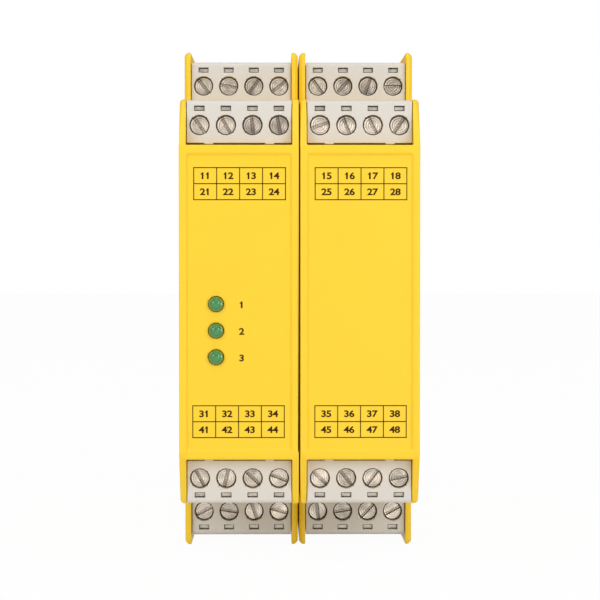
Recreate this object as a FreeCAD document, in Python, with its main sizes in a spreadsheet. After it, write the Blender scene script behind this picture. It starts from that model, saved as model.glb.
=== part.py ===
import FreeCAD, Part
import math
import os
import re
import Sketcher

# Safety relay for a 35 mm mounting rail: two slim housings side by side, each with
# four plug-in screw terminals in two steps above and two steps below its front panel.
# X runs along the rail, Y from the front panel to the rail, Z up.
# The origin is the middle of the rail seat, on the joint between the two housings.

sizes = {
    # housing
    "moduleGap": 0.25,
    "moduleDepth": 110.5,
    "wall": 1.25,
    "shell": 1.5,
    "capHeight": 59.6,
    "endReach": 6.6,
    "frontSkin": 1.6,
    "panelRecess": 0.5,
    "panelMargin": 1.8,
    "frontFlat": 58.6,
    "partition": 1.45,
    "shroud": 1.2,
    "wallCorner": 1.2,
    "rimBevel": 0.6,
    # how far the side walls stand out past the plugs
    "cheekReach": 4.95,
    "cheekDrop": 0.9,
    "shoulderLead": 0.8,
    # plugs
    "plugSetback": 3.1,
    "tierStep": 20.0,
    "polePitch": 5.0,
    "plugInner": 3.4,
    "plugOuter": 4.7,
    "plugBody": 14.5,
    "plugTail": 9.0,
    "tailOuter": 3.7,
    "plugFit": 0.25,
    "sideFit": 0.12,
    "plugRound": 0.8,
    "nubWidth": 1.7,
    "nubSpacing": 11.5,
    "nubLength": 4.0,
    "nubFit": 0.05,
    # one pole of a plug
    "holeDiameter": 3.8,
    "holeDepth": 3.0,
    "neckWidth": 2.9,
    "neckDepth": 0.6,
    "chamberWidth": 4.3,
    "chamberInner": 2.75,
    "chamberOuter": 3.65,
    "tailChamber": 2.75,
    "wireWidth": 3.5,
    "wireHeight": 3.4,
    "wireCentre": 10.75,
    "wireTaper": 8.0,
    "windowWidth": 1.95,
    "windowHeight": 0.98,
    "tabOffset": 3.15,
    # clamp screw, sleeve and contact
    "headDiameter": 3.4,
    "headSink": 1.1,
    "headHeight": 1.6,
    "shankDiameter": 2.5,
    "threadFit": 0.05,
    "tipGap": 0.05,
    "slotWidth": 0.55,
    "slotDepth": 0.8,
    "sleeveFit": 0.1,
    "sleeveWall": 0.8,
    "sleeveNut": 1.6,
    "sleeveLength": 4.0,
    "sleeveRoom": 6.4,
    "barFront": 8.2,
    "stripThickness": 0.6,
    "contactWidth": 1.7,
    "tabSink": 0.9,
    # headers
    "pinSize": 1.0,
    "pinReach": 8.0,
    "pinFit": 0.1,
    "headerGap": 0.6,
    "headerDepth": 5.0,
    "headerFit": 0.1,
    "flangeDepth": 1.0,
    # boards and what they carry
    "boardThickness": 1.6,
    "boardInset": 2.0,
    "boardFit": 0.1,
    "boardFront": 8.0,
    "boardRear": 12.0,
    "relayLength": 42.0,
    "relayWidth": 20.0,
    "relayRoom": 1.3,
    "relayGap": 6.0,
    "relayLid": 0.6,
    "lightDiameter": 3.0,
    "lightRise": 0.7,
    "lightBevel": 0.6,
    "lightFit": 0.1,
    "lightPitch": 5.0,
    "lightTop": -0.4,
    "lightOffset": 4.45,
    "lightCollar": 3.7,
    "collarDepth": 1.0,
    "legSize": 0.5,
    "legSpacing": 2.54,
    "legLength": 7.0,
    # ventilation and the joints of the housing
    "ventWidth": 1.6,
    "ventPitch": 3.6,
    "ventMargin": 2.5,
    "rearDepth": 34.0,
    "skirtLength": 6.0,
    "skirtFit": 0.15,
    "skirtWall": 1.2,
    "snapWidth": 6.0,
    "snapHeight": 1.1,
    "snapLength": 2.4,
    "keySize": 3.0,
    "keyFit": 0.1,
    "guideReach": 3.5,
    "guideWall": 1.2,
    # rail foot
    "railHalf": 17.5,
    "railFlange": 1.0,
    "railFit": 0.15,
    "lipRelief": 0.1,
    "seatRelief": 0.3,
    "hookReach": 1.3,
    "hookDepth": 4.0,
    "hookHeight": 6.0,
    "rearSet": 2.0,
    "rearBevel": 9.0,
    "footSlope": 4.0,
    "seatSkin": 2.0,
    "latchWidth": 10.2,
    "latchFit": 0.15,
    "latchThickness": 2.6,
    "latchEar": 1.4,
    "earThickness": 1.2,
    "earLength": 11.0,
    "latchHook": 1.9,
    "latchNose": 3.5,
    "latchEnd": 1.5,
    "pullSlot": 2.0,
    "springTop": 6.5,
    "springLength": 10.0,
    "springWidth": 2.8,
    "springStrip": 0.35,
    "pegHeight": 2.0,
}

polesPerPlug = 4
roundSides = 16  # the screw holes repeat 32 times, so they and the shanks have few sides
shankSides = 8
ventCount = 5
springFolds = 6
sides = {"left": -1, "right": 1}
ends = {"top": 0, "bottom": 180}

# How far each screw slot leans to the right of upright, from left to right
slotLeans = {
    "left_top_front": (-28, -35, 0, -5),
    "left_top_back": (-30, 95, 30, 45),
    "left_bottom_front": (-34, 19, -40, 117),
    "left_bottom_back": (57, 100, -25, 100),
    "right_top_front": (65, -15, -20, 28),
    "right_top_back": (-30, 50, 25, 90),
    "right_bottom_front": (-40, -45, 43, 72),
    "right_bottom_back": (0, 87, 50, 68),
}

# Sizes and places that follow from the sizes above
roomWidth = f"({polesPerPlug} * polePitch)"
roomHalf = f"({roomWidth} / 2)"
moduleWidth = f"({roomWidth} + 2 * wall)"
moduleHalf = f"({moduleWidth} / 2)"
frontPlane = "(-moduleDepth)"
frontFace = "(-moduleDepth + plugSetback)"
backFace = "(-moduleDepth + plugSetback + tierStep)"
capHalf = "(capHeight / 2)"
frontRow = "(capHeight / 2 + plugFit + plugInner)"
rowStep = "(plugInner + tailOuter + 2 * plugFit + partition)"
backRow = f"({frontRow} + {rowStep})"
topHalf = f"({backRow} + endReach)"
plugDepth = "(plugBody + plugTail)"
plugHalf = f"({roomHalf} - sideFit)"
moduleCentre = f"({moduleHalf} + moduleGap / 2)"
bayDepth = f"({plugDepth} + headerGap + headerDepth)"
frontBayEnd = f"({frontFace} + {bayDepth})"
backBayEnd = f"({backFace} + {bayDepth})"
splitPlane = "(-rearDepth)"
firstPole = f"(-polePitch * {(polesPerPlug - 1) / 2})"
chamberRoof = "(holeDepth + neckDepth)"
boardFace = f"(-({roomHalf} - boardInset - boardThickness))"
relayTop = f"({roomHalf} - relayRoom)"
seatEdge = "(railHalf + railFit)"

doc = FreeCAD.newDocument("SafetyRelay")
sheet = doc.addObject("Spreadsheet::Sheet", "Sizes")
for row, (name, value) in enumerate(sizes.items(), 1):
    sheet.set(f"A{row}", name)
    sheet.set(f"B{row}", str(value))
    sheet.setAlias(f"B{row}", name)
doc.recompute()

sizeName = re.compile(r"\b(" + "|".join(sizes) + r")\b")


def bind(thing, setting, formula):
    """Ties one setting of an object to a formula in the names of the sheet."""
    thing.setExpression(setting, sizeName.sub(r"Sizes.\1", formula))


def newBody(name):
    return doc.addObject("PartDesign::Body", name)


def sketchOn(body, role, offset="0"):
    """An empty sketch on one of the body's own origin planes, moved along its normal."""
    sketch = body.newObject("Sketcher::SketchObject", body.Name + "Sketch")
    base = next(part for part in body.Origin.OriginFeatures if part.Role == role)
    sketch.AttachmentSupport = [(base, "")]
    sketch.MapMode = "FlatFace"
    bind(sketch, "AttachmentOffset.Base.z", offset)
    return sketch


def polygon(sketch, corners):
    """A closed outline whose corners are pairs of formulas."""
    first = sketch.GeometryCount
    count = len(corners)
    turn = 2 * math.pi / count
    start = [FreeCAD.Vector(math.cos(turn * k), math.sin(turn * k), 0) for k in range(count)]
    for k in range(count):
        sketch.addGeometry(Part.LineSegment(start[k], start[(k + 1) % count]), False)
    for k in range(count):
        following = first + (k + 1) % count
        sketch.addConstraint(Sketcher.Constraint("Coincident", first + k, 2, following, 1))
    for k, formulas in enumerate(corners):
        for kind, formula, now in zip(("DistanceX", "DistanceY"), formulas, start[k]):
            place = Sketcher.Constraint(kind, -1, 1, first + k, 1, now)
            bind(sketch, f"Constraints[{sketch.addConstraint(place)}]", formula)


def rectangle(sketch, left, right, bottom, top):
    polygon(sketch, [(left, bottom), (right, bottom), (right, top), (left, top)])


def circle(sketch, across, up, diameter):
    shape = Part.Circle(FreeCAD.Vector(1, 1, 0), FreeCAD.Vector(0, 0, 1), 1)
    ring = sketch.addGeometry(shape, False)
    for kind, formula in (("DistanceX", across), ("DistanceY", up)):
        place = Sketcher.Constraint(kind, -1, 1, ring, 3, 1.0)
        bind(sketch, f"Constraints[{sketch.addConstraint(place)}]", formula)
    width = Sketcher.Constraint("Diameter", ring, 2.0)
    bind(sketch, f"Constraints[{sketch.addConstraint(width)}]", diameter)


def regular(sketch, across, up, diameter, corners):
    """An even-sided outline whose corners lie on a circle."""
    turn = 2 * math.pi / corners
    polygon(sketch, [
        (
            f"({across} + {diameter} / 2 * {math.cos(turn * (k + 0.5)):.6f})",
            f"({up} + {diameter} / 2 * {math.sin(turn * (k + 0.5)):.6f})",
        )
        for k in range(corners)
    ])


def finish(body, feature, grows):
    """Makes the feature the body's result and checks that it changed the solid."""
    body.Tip = feature
    doc.recompute()
    before = feature.BaseFeature.Shape.Volume if feature.BaseFeature else 0.0
    gain = feature.Shape.Volume - before
    if gain * (1 if grows else -1) <= 0:
        raise RuntimeError(f"{feature.Label} in {body.Label} changes nothing")
    return feature


def pad(body, sketch, length, centred=False, backward=False):
    feature = body.newObject("PartDesign::Pad", body.Name + "Pad")
    feature.Profile = sketch
    feature.Midplane = centred
    feature.Reversed = backward
    bind(feature, "Length", length)
    return finish(body, feature, True)


def pocket(body, sketch, length, centred=False, backward=False, taper=None):
    feature = body.newObject("PartDesign::Pocket", body.Name + "Pocket")
    feature.Profile = sketch
    feature.Midplane = centred
    feature.Reversed = backward
    bind(feature, "Length", length)
    if taper:
        bind(feature, "TaperAngle", taper)
    return finish(body, feature, False)


def bevelFront(body, size):
    """Bevels the round edge that lies furthest to the front."""
    solid = body.Tip
    rims = [
        (edge.CenterOfMass.y, f"Edge{number}")
        for number, edge in enumerate(solid.Shape.Edges, 1)
        if isinstance(edge.Curve, Part.Circle)
    ]
    feature = body.newObject("PartDesign::Chamfer", body.Name + "Bevel")
    feature.Base = (solid, [min(rims)[1]])
    bind(feature, "Size", size)
    finish(body, feature, False)


def repeatAcross(body, features, count, spacing, grows):
    """Repeats features along X."""
    pattern = body.newObject("PartDesign::LinearPattern", body.Name + "Row")
    pattern.Originals = features
    axis = next(part for part in body.Origin.OriginFeatures if part.Role == "X_Axis")
    pattern.Direction = (axis, [""])
    bind(pattern, "Length", f"{count - 1} * {spacing}")
    pattern.Occurrences = count
    return finish(body, pattern, grows)


def roundCorners(body, sketch, corners, radius):
    """Rounds the edges that run through the named corners of a padded outline."""
    points = [sketch.Placement.multVec(sketch.Geometry[k].StartPoint) for k in corners]
    names = []
    solid = body.Tip
    for number, edge in enumerate(solid.Shape.Edges, 1):
        line = edge.Curve
        if not isinstance(line, Part.Line) or abs(line.Direction.x) < 0.999:
            continue
        middle = edge.CenterOfMass
        if any(math.hypot(middle.y - p.y, middle.z - p.z) < 0.01 for p in points):
            names.append(f"Edge{number}")
    feature = body.newObject("PartDesign::Fillet", body.Name + "Round")
    feature.Base = (solid, names)
    bind(feature, "Radius", radius)
    finish(body, feature, False)


def bevelRims(body, size):
    """Bevels the long outer edges of a padded housing where its top and bottom meet the sides."""
    solid = body.Tip
    box = solid.Shape.BoundBox
    names = []
    for number, edge in enumerate(solid.Shape.Edges, 1):
        along = edge.tangentAt(edge.FirstParameter)
        middle = edge.CenterOfMass
        onSide = min(abs(middle.x - box.XMin), abs(middle.x - box.XMax)) < 0.01
        if onSide and abs(along.y) > 0.99 and box.ZMax - abs(middle.z) < 0.01:
            names.append(f"Edge{number}")
    feature = body.newObject("PartDesign::Chamfer", body.Name + "Rim")
    feature.Base = (solid, names)
    bind(feature, "Size", size)
    finish(body, feature, False)


def place(thing, across="0", deep="0", up="0", turn=0):
    """Turns a thing about Y and puts it at formulas for X, Y and Z."""
    thing.Placement = FreeCAD.Placement(
        FreeCAD.Vector(), FreeCAD.Rotation(FreeCAD.Vector(0, 1, 0), turn)
    )
    for axis, formula in (("x", across), ("y", deep), ("z", up)):
        bind(thing, f"Placement.Base.{axis}", formula)


def placedCopy(master, label, **where):
    """A body of its own that follows the master's shape."""
    copy = newBody(label)
    copy.BaseFeature = master
    place(copy, **where)
    return copy


def bothHalves(points):
    """An outline in Y and Z from its upper half, from front to back."""
    lower = [(deep, f"(-{up})") for deep, up in reversed(points)]
    return points + lower


def frontHousing(side):
    """The yellow front part: panel, side walls, plug bays and the walls behind them."""
    body = newBody("front_housing_" + side)
    outline = sketchOn(body, "YZ_Plane")
    polygon(outline, bothHalves([
        (frontPlane, "(frontFlat / 2)"),
        (f"{frontFace} + cheekDrop", f"({frontRow} + cheekReach)"),
        (f"{backFace} - shoulderLead", f"({frontRow} + cheekReach)"),
        (f"{backFace} - shoulderLead", topHalf),
        (splitPlane, topHalf),
    ]))
    pad(body, outline, moduleWidth, centred=True)
    roundCorners(body, outline, (1, 3, 6, 8), "wallCorner")
    bevelRims(body, "rimBevel")
    hollow = sketchOn(body, "YZ_Plane")
    polygon(hollow, bothHalves([
        (f"({frontPlane} + frontSkin)", f"({capHalf} - wall)"),
        (frontBayEnd, f"({capHalf} - wall)"),
        (frontBayEnd, f"({backRow} - plugInner - plugFit - partition)"),
        (backBayEnd, f"({backRow} - plugInner - plugFit - partition)"),
        (backBayEnd, f"({topHalf} - shell)"),
        (f"({splitPlane} + 1)", f"({topHalf} - shell)"),
    ]))
    pocket(body, hollow, f"2 * {roomHalf}", centred=True)
    for end in (1, -1):
        plugBays(body, end)
    panel = sketchOn(body, "XZ_Plane", "moduleDepth")
    panelHalf = f"({capHalf} - panelMargin)"
    rectangle(panel, f"-{roomHalf}", roomHalf, f"-{panelHalf}", panelHalf)
    pocket(body, panel, "panelRecess")
    vent = sketchOn(body, "XY_Plane")
    rectangle(
        vent,
        f"-ventPitch * {(ventCount - 1) / 2} - ventWidth / 2",
        f"-ventPitch * {(ventCount - 1) / 2} + ventWidth / 2",
        f"{backBayEnd} + ventMargin",
        f"{splitPlane} - skirtLength - ventMargin",
    )
    firstVent = pocket(body, vent, f"2 * {topHalf} + 2", centred=True)
    repeatAcross(body, [firstVent], ventCount, "ventPitch", False)
    snap = sketchOn(body, "XY_Plane")
    rectangle(
        snap,
        "-(snapWidth / 2 + skirtFit)",
        "snapWidth / 2 + skirtFit",
        f"{splitPlane} - skirtLength / 2 - snapLength / 2 - skirtFit",
        f"{splitPlane} - skirtLength / 2 + snapLength / 2 + skirtFit",
    )
    pocket(body, snap, f"2 * {topHalf} + 2", centred=True)
    return body


def plugBays(body, end):
    """The two stepped bays above or below the panel, with the open way for the wires."""
    sign = "" if end > 0 else "-"
    outside = f"({topHalf} + 5)"
    frontBay = [
        (f"({frontPlane} - 1)", capHalf),
        (f"({frontPlane} - 1)", outside),
        (f"({frontFace} + plugBody + plugFit)", outside),
        (f"({frontFace} + plugBody + plugFit)", f"({frontRow} + tailOuter + plugFit)"),
        (f"({frontBayEnd} + 1)", f"({frontRow} + tailOuter + plugFit)"),
        (f"({frontBayEnd} + 1)", capHalf),
    ]
    shroudEnd = f"({backFace} + {plugDepth})"
    backBay = [
        (f"({frontFace} + plugBody)", f"({backRow} - plugInner - plugFit)"),
        (f"({frontFace} + plugBody)", outside),
        (shroudEnd, outside),
        (shroudEnd, f"({backRow} + tailOuter + plugFit + shroud)"),
        (f"({backFace} + plugBody + plugFit)", f"({backRow} + tailOuter + plugFit + shroud)"),
        (f"({backFace} + plugBody + plugFit)", f"({backRow} + tailOuter + plugFit)"),
        (f"({backBayEnd} + 1)", f"({backRow} + tailOuter + plugFit)"),
        (f"({backBayEnd} + 1)", f"({backRow} - plugInner - plugFit)"),
    ]
    for corners in (frontBay, backBay):
        bay = sketchOn(body, "YZ_Plane")
        polygon(bay, [(deep, sign + up) for deep, up in corners])
        pocket(body, bay, f"2 * {roomHalf}", centred=True)


def keys(sketch, fit):
    """Outlines of the keys that join the two housings, each widened by a fit."""
    half = f"(keySize / 2 + {fit})"
    front = f"({backBayEnd} + ventMargin + keySize / 2)"
    for up in (frontRow, f"(-{frontRow})"):
        rectangle(
            sketch,
            f"{front} + keySize / 2 - {half}",
            f"{front} + keySize / 2 + {half}",
            f"{up} - 2 * {half}",
            f"{up} + 2 * {half}",
        )


def addKeys(body):
    """Short keys on the side that faces the other housing."""
    sketch = sketchOn(body, "YZ_Plane", moduleHalf)
    keys(sketch, "0")
    pad(body, sketch, "moduleGap + wall")


def addKeyways(body):
    sketch = sketchOn(body, "YZ_Plane", f"-{moduleHalf}")
    keys(sketch, "keyFit")
    pocket(body, sketch, "wall", backward=True)


def addLightHoles(body):
    """Three holes through the panel skin, one for each indicator light."""
    sketch = sketchOn(body, "XZ_Plane", "moduleDepth")
    for number in range(3):
        level = f"(lightTop - {number} * lightPitch)"
        circle(sketch, "-lightOffset", level, "(lightDiameter + 2 * lightFit)")
    pocket(body, sketch, "frontSkin")


def rearBase(side):
    """The yellow rear part: closes the housing, sits on the rail and guides the latch."""
    body = newBody("rear_base_" + side)
    outline = sketchOn(body, "YZ_Plane")
    hookLip = "(railFlange + railFit + lipRelief)"
    bevelEnd = f"({topHalf} - rearBevel)"
    footTop = f"({seatEdge} + hookHeight)"
    seatTop = "(railHalf - hookReach - railFit)"
    seatLow = "(-(railHalf - latchHook))"
    polygon(outline, [
        (splitPlane, topHalf),
        ("(-rearBevel)", topHalf),
        ("(-rearSet)", bevelEnd),
        ("(-rearSet)", f"({footTop} + footSlope)"),
        ("hookDepth", footTop),
        ("hookDepth", "(railHalf - hookReach)"),
        (hookLip, "(railHalf - hookReach)"),
        (hookLip, seatEdge),
        ("(-seatRelief)", seatEdge),
        ("(-seatRelief)", seatTop),
        ("0", seatTop),
        ("0", seatLow),
        ("(-seatRelief)", seatLow),
        ("(-seatRelief)", f"(-{seatEdge})"),
        ("hookDepth", f"(-{seatEdge} - 2 * railFit)"),
        ("hookDepth", f"(-{footTop})"),
        ("(-rearSet)", f"(-{footTop} - footSlope)"),
        ("(-rearSet)", f"(-{bevelEnd})"),
        ("(-rearBevel)", f"(-{topHalf})"),
        (splitPlane, f"(-{topHalf})"),
    ])
    pad(body, outline, moduleWidth, centred=True)
    bevelRims(body, "rimBevel")
    hollow = sketchOn(body, "YZ_Plane")
    slideFloor = "(-latchThickness - latchFit)"
    polygon(hollow, [
        (f"({splitPlane} - 1)", f"({topHalf} - shell)"),
        ("(-rearBevel - shell)", f"({topHalf} - shell)"),
        ("(-rearSet - seatSkin)", f"({bevelEnd} - shell / 2)"),
        ("(-rearSet - seatSkin)", f"{footTop}"),
        ("(-seatSkin)", "(railHalf - hookReach)"),
        ("(-seatSkin)", "(-(railHalf - hookReach) + seatSkin)"),
        (f"({slideFloor} - seatSkin)", "(-(railHalf - hookReach))"),
        (f"({slideFloor} - seatSkin)", f"(-({bevelEnd} - shell / 2))"),
        ("(-rearBevel - shell)", f"(-({topHalf} - shell))"),
        (f"({splitPlane} - 1)", f"(-({topHalf} - shell))"),
    ])
    pocket(body, hollow, f"2 * {roomHalf}", centred=True)
    skirt = sketchOn(body, "XZ_Plane", "rearDepth")
    skirtRoom = f"({topHalf} - shell - skirtFit)"
    skirtSide = f"({roomHalf} - skirtFit)"
    rectangle(skirt, f"-{skirtSide}", skirtSide, f"-{skirtRoom}", skirtRoom)
    rectangle(
        skirt,
        f"-({skirtSide} - skirtWall)",
        f"({skirtSide} - skirtWall)",
        f"-({skirtRoom} - skirtWall)",
        f"({skirtRoom} - skirtWall)",
    )
    pad(body, skirt, "skirtLength")
    rim = sketchOn(body, "XZ_Plane", "rearDepth")
    rectangle(rim, f"-{roomHalf}", roomHalf, f"-({topHalf} - shell)", f"({topHalf} - shell)")
    rectangle(
        rim,
        f"-({skirtSide} - skirtWall)",
        f"({skirtSide} - skirtWall)",
        f"-({skirtRoom} - skirtWall)",
        f"({skirtRoom} - skirtWall)",
    )
    pad(body, rim, "skirtWall", backward=True)
    for sign in ("", "-"):
        snap = sketchOn(body, "YZ_Plane")
        root = f"({skirtRoom} - skirtWall / 2)"
        middle = f"({splitPlane} - skirtLength / 2)"
        polygon(snap, [
            (f"({middle} - snapLength / 2)", sign + root),
            (f"({middle} + snapLength / 2)", sign + root),
            (f"({middle} + snapLength / 2)", f"{sign}({skirtRoom} + snapHeight)"),
            (f"({middle} - snapLength / 6)", f"{sign}({skirtRoom} + snapHeight)"),
            (f"({middle} - snapLength / 2)", f"{sign}({skirtRoom} + skirtFit)"),
        ])
        pad(body, snap, "snapWidth", centred=True)
    boardGuides(body)
    latchWay(body)
    return body


def boardGuides(body):
    """Pairs of ribs that hold the board's edges at the top and bottom of the base."""
    under = f"({boardFace} - boardThickness - boardFit - guideWall)"
    for face in (f"({boardFace} + boardFit)", under):
        for sign in ("", "-"):
            rib = sketchOn(body, "YZ_Plane", face)
            reach = f"({topHalf} - shell - guideReach)"
            root = f"({topHalf} - shell / 2)"
            rectangle(rib, f"({splitPlane} + skirtWall)", "(-boardRear)", sign + reach, sign + root)
            pad(body, rib, "guideWall")


def latchWay(body):
    """The undercut way for the latch, with the peg that its spring pushes against."""
    way = sketchOn(body, "XY_Plane", f"(-{seatEdge})")
    slot = "(latchWidth / 2 + latchFit)"
    ear = "(latchWidth / 2 + latchEar + latchFit)"
    floor = "(-latchThickness - latchFit)"
    lip = "(-latchThickness + earThickness + latchFit)"
    polygon(way, [
        (f"-{slot}", "(hookDepth + 1)"),
        (f"-{slot}", lip),
        (f"-{ear}", lip),
        (f"-{ear}", floor),
        (ear, floor),
        (ear, lip),
        (slot, lip),
        (slot, "(hookDepth + 1)"),
    ])
    pocket(body, way, topHalf)
    peg = sketchOn(body, "XZ_Plane", "(latchThickness + latchFit + seatSkin / 2)")
    pegTop = f"(-{seatEdge} - springTop - springLength)"
    rectangle(peg, "-springWidth / 2", "springWidth / 2", f"{pegTop} - pegHeight", pegTop)
    pad(body, peg, "latchThickness + latchFit + seatSkin / 2 - railFit", backward=True)


def dinLatch(side):
    """The sliding latch with its bevelled nose behind the lower edge of the rail."""
    body = newBody("din_latch_" + side)
    outline = sketchOn(body, "YZ_Plane")
    start = f"(-{seatEdge} - latchFit)"
    polygon(outline, [
        ("(-latchThickness)", start),
        ("(railFlange + railFit)", start),
        ("(railFlange + railFit)", "(-railHalf + latchHook - railFit)"),
        ("(railFlange + 5 * railFit)", "(-railHalf + latchHook - railFit)"),
        ("latchNose", start),
        ("latchNose", f"({start} - 2 * latchHook)"),
        ("0", f"({start} - 2 * latchHook - latchNose)"),
        ("0", f"(-{topHalf} + latchEnd)"),
        ("(-latchThickness)", f"(-{topHalf} + latchEnd)"),
    ])
    pad(body, outline, "latchWidth", centred=True)
    ears = sketchOn(body, "XZ_Plane", "latchThickness")
    earEdge = "(latchWidth / 2 + latchEar)"
    rectangle(ears, f"-{earEdge}", earEdge, f"({start} - earLength)", start)
    pad(body, ears, "earThickness", backward=True)
    windowTop = f"(-{seatEdge} - springTop)"
    window = sketchOn(body, "XZ_Plane", "latchThickness + 1")
    rectangle(
        window,
        "-(springWidth / 2 + latchFit)",
        "(springWidth / 2 + latchFit)",
        f"({windowTop} - springLength - pegHeight - latchFit)",
        windowTop,
    )
    rectangle(
        window,
        "-latchWidth / 4",
        "latchWidth / 4",
        f"(-{topHalf} + latchEnd + pullSlot)",
        f"(-{topHalf} + latchEnd + 2 * pullSlot)",
    )
    pocket(body, window, "latchThickness + 2")
    return body


def latchSpring(side):
    """A folded strip between the base's peg and the latch."""
    body = newBody("latch_spring_" + side)
    strip = sketchOn(body, "XZ_Plane", "latchThickness")
    low = f"(-{seatEdge} - springTop - springLength)"
    rise = f"((springLength - springStrip) / {springFolds})"
    chain = []
    for fold in range(springFolds + 1):
        edge = "springWidth / 2" if fold % 2 else "-springWidth / 2"
        chain.append((edge, f"({low} + {fold} * {rise})"))
    upper = [(edge, f"({up} + springStrip)") for edge, up in reversed(chain)]
    polygon(strip, chain + upper)
    pad(body, strip, "latchThickness - 2 * latchFit", backward=True)
    return body


def plugMaster():
    """A four-pole plug. Its origin is the middle of the screw row on its front face."""
    body = newBody("plugMaster")
    outline = sketchOn(body, "YZ_Plane")
    polygon(outline, [
        ("0", "(-plugInner)"),
        ("0", "plugOuter"),
        ("plugBody", "plugOuter"),
        ("plugBody", "tailOuter"),
        (plugDepth, "tailOuter"),
        (plugDepth, "(-plugInner)"),
    ])
    pad(body, outline, f"2 * {plugHalf}", centred=True)
    roundCorners(body, outline, (1,), "plugRound")
    nubs = sketchOn(body, "XZ_Plane")
    for sign in ("", "-"):
        middle = f"({sign}nubSpacing / 2)"
        rectangle(
            nubs,
            f"{middle} - nubWidth / 2",
            f"{middle} + nubWidth / 2",
            "(-plugInner - plugFit + nubFit)",
            "(-plugInner + plugFit)",
        )
    pad(body, nubs, "nubLength", backward=True)
    hole = sketchOn(body, "XZ_Plane")
    regular(hole, firstPole, "0", "holeDiameter", roundSides)
    cuts = [pocket(body, hole, "holeDepth")]
    neck = sketchOn(body, "XZ_Plane")
    half = "neckWidth / 2"
    rectangle(neck, f"{firstPole} - {half}", f"{firstPole} + {half}", f"-{half}", half)
    cuts.append(pocket(body, neck, f"{chamberRoof} + 0.1"))
    chamber = sketchOn(body, "YZ_Plane", firstPole)
    polygon(chamber, [
        (chamberRoof, "(-chamberInner)"),
        (chamberRoof, "chamberOuter"),
        ("(plugBody - wall)", "chamberOuter"),
        ("(plugBody - wall)", "tailChamber"),
        (f"({plugDepth} + 1)", "tailChamber"),
        (f"({plugDepth} + 1)", "(-chamberInner)"),
    ])
    cuts.append(pocket(body, chamber, "chamberWidth", centred=True))
    funnel = sketchOn(body, "XY_Plane", "plugOuter")
    rectangle(
        funnel,
        f"{firstPole} - wireWidth / 2",
        f"{firstPole} + wireWidth / 2",
        "(wireCentre - wireHeight / 2)",
        "(wireCentre + wireHeight / 2)",
    )
    cuts.append(pocket(body, funnel, "(plugOuter - chamberOuter) + 0.1", taper="-wireTaper"))
    window = sketchOn(body, "XZ_Plane")
    rectangle(
        window,
        f"{firstPole} - windowWidth / 2",
        f"{firstPole} + windowWidth / 2",
        "(tabOffset - windowHeight / 2)",
        "(tabOffset + windowHeight / 2)",
    )
    cuts.append(pocket(body, window, f"{chamberRoof} + 0.1"))
    repeatAcross(body, cuts, polesPerPlug, "polePitch", False)
    return body


def screwMaster():
    """A slotted clamp screw. Its slot stands upright, and it starts at the plug's face."""
    body = newBody("screwMaster")
    head = sketchOn(body, "XZ_Plane", "-headSink")
    circle(head, "0", "0", "headDiameter")
    pad(body, head, "headHeight", backward=True)
    shank = sketchOn(body, "XZ_Plane", "-(headSink + headHeight)")
    regular(shank, "0", "0", "shankDiameter", shankSides)
    pad(body, shank, "barFront - tipGap - headSink - headHeight", backward=True)
    slot = sketchOn(body, "XZ_Plane", "-headSink")
    rectangle(slot, "-slotWidth / 2", "slotWidth / 2", "-headDiameter", "headDiameter")
    pocket(body, slot, "slotDepth")
    return body


def clampMaster():
    """The four rising sleeves and the four contacts inside one plug."""
    body = newBody("clampMaster")
    body.AllowCompound = True
    ring = sketchOn(body, "XY_Plane")
    sleeveHalf = "(chamberWidth / 2 - sleeveFit)"
    sleeveStart = f"({chamberRoof} + sleeveFit)"
    rectangle(
        ring,
        f"{firstPole} - {sleeveHalf}",
        f"{firstPole} + {sleeveHalf}",
        sleeveStart,
        f"({sleeveStart} + sleeveNut + sleeveRoom + sleeveWall)",
    )
    rectangle(
        ring,
        f"{firstPole} - {sleeveHalf} + sleeveWall",
        f"{firstPole} + {sleeveHalf} - sleeveWall",
        f"({sleeveStart} + sleeveNut)",
        f"({sleeveStart} + sleeveNut + sleeveRoom)",
    )
    parts = [pad(body, ring, "sleeveLength", centred=True)]
    thread = sketchOn(body, "XZ_Plane")
    threadHalf = "(shankDiameter / 2 + threadFit)"
    rectangle(
        thread,
        f"{firstPole} - {threadHalf}",
        f"{firstPole} + {threadHalf}",
        f"-{threadHalf}",
        threadHalf,
    )
    hole = pocket(body, thread, f"({sleeveStart} + sleeveNut)")
    contact = sketchOn(body, "YZ_Plane", firstPole)
    tabInner = "(tabOffset - stripThickness / 2)"
    tabOuter = "(tabOffset + stripThickness / 2)"
    strip = "(sleeveLength / 2 + sleeveFit)"
    blade = "(pinSize / 2 + pinFit)"
    forkEnd = f"({plugDepth} - pinFit)"
    forkRoot = f"({plugDepth} - pinReach - pinFit)"
    polygon(contact, [
        ("tabSink", tabInner),
        ("tabSink", tabOuter),
        ("(barFront + stripThickness)", tabOuter),
        ("(barFront + stripThickness)", f"(-{strip})"),
        (f"({forkRoot} - stripThickness)", f"(-{strip})"),
        (f"({forkRoot} - stripThickness)", f"({blade} + stripThickness)"),
        (forkEnd, f"({blade} + stripThickness)"),
        (forkEnd, blade),
        (forkRoot, blade),
        (forkRoot, f"(-{blade})"),
        (forkEnd, f"(-{blade})"),
        (forkEnd, f"(-{blade} - stripThickness)"),
        (forkRoot, f"(-{blade} - stripThickness)"),
        (forkRoot, f"(-{strip} - stripThickness)"),
        ("barFront", f"(-{strip} - stripThickness)"),
        ("barFront", tabInner),
    ])
    parts.append(pad(body, contact, "contactWidth", centred=True))
    repeatAcross(body, parts + [hole], polesPerPlug, "polePitch", True)
    return body


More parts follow.
